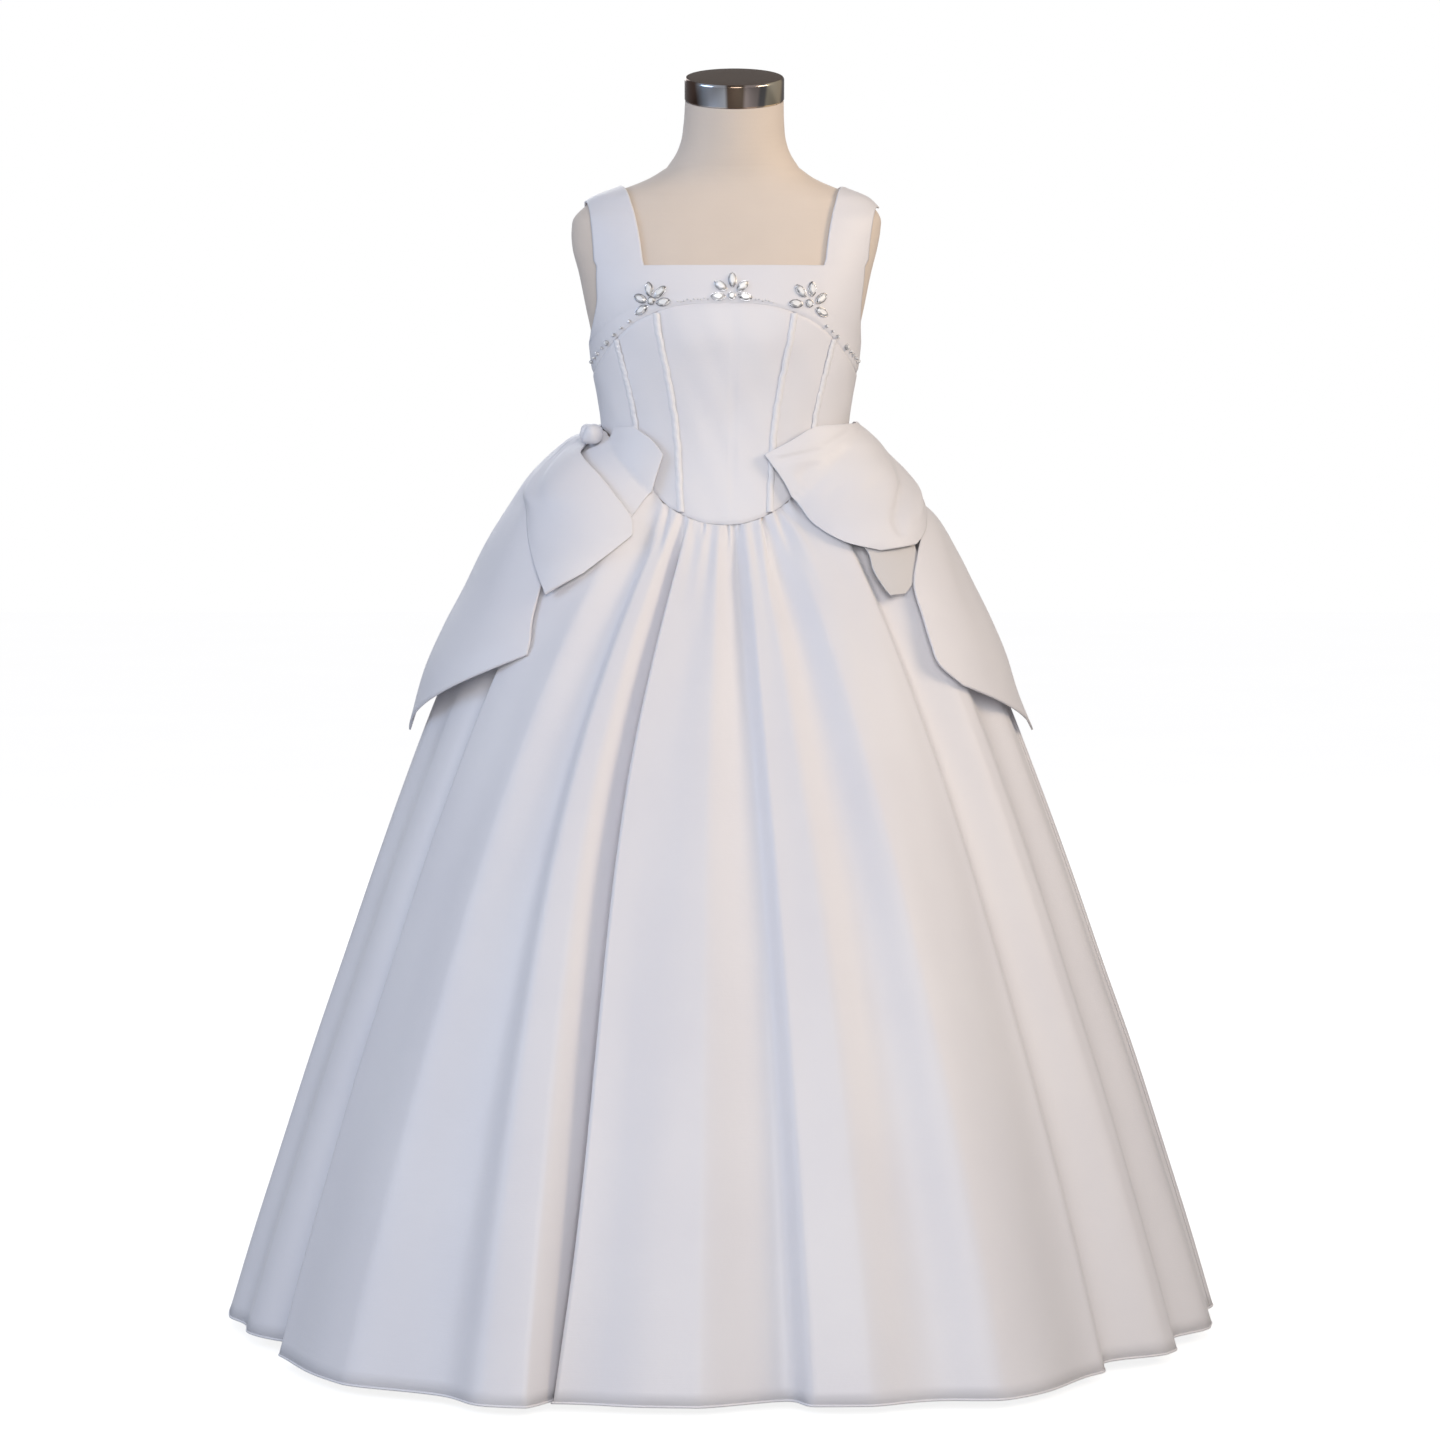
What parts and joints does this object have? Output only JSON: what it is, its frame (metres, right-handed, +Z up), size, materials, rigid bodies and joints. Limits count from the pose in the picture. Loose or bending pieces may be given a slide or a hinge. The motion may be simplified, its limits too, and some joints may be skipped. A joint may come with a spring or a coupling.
{
  "type": "communion dress on a dress form",
  "caption": "Sleeveless square-neck child's gown with a corset bodice, hip bows and full gathered skirt, on a limbless dress form with a round stand.",
  "frame": {"origin": "centre of the stand's base, on its underside, at floor level", "axes": "+Z up; the dress's front faces -Y; +X is to the right of a viewer who faces the front"},
  "size_m": [0.9036, 0.8825, 1.1464],
  "materials": {
    "satin": "matte white satin",
    "piping": "white piping cord",
    "rhinestone": "clear silver-backed faceted stone",
    "jersey": "beige jersey over the form",
    "metal": "polished"
  },
  "bodies": {
    "root": {"bodice_back_left": "satin", "bodice_back_right": "satin", "bodice_front": "satin", "bodice_side_back_left": "satin", "bodice_side_back_right": "satin", "bodice_side_front_left": "satin", "bodice_side_front_right": "satin", "bodice_side_left": "satin", "bodice_side_right": "satin", "bow_left_front_flap": "satin", "bow_left_knot": "satin", "bow_left_rear_flap": "satin", "bow_left_tail": "satin", "bow_right_flap": "satin", "bow_right_knot": "satin", "bow_right_tail": "satin", "bow_right_underlay": "satin", "form_torso": "jersey", "neck_cap": "metal", "piping_front_left": "piping", "piping_front_right": "piping", "piping_side_left": "piping", "piping_side_right": "piping", "rhinestone_01": "rhinestone", "rhinestone_02": "rhinestone", "rhinestone_03": "rhinestone", "rhinestone_04": "rhinestone", "rhinestone_05": "rhinestone", "rhinestone_06": "rhinestone", "rhinestone_07": "rhinestone", "rhinestone_08": "rhinestone", "rhinestone_09": "rhinestone", "rhinestone_10": "rhinestone", "rhinestone_11": "rhinestone", "rhinestone_12": "rhinestone", "rhinestone_13": "rhinestone", "rhinestone_14": "rhinestone", "rhinestone_15": "rhinestone", "rhinestone_centre_1": "rhinestone", "rhinestone_centre_2": "rhinestone", "rhinestone_centre_3": "rhinestone", "skirt_back_left": "satin", "skirt_back_right": "satin", "skirt_front": "satin", "stand_base": "metal", "stand_pole": "metal", "yoke_back_left": "satin", "yoke_back_right": "satin", "yoke_front": "satin"}
  },
  "joints": []
}
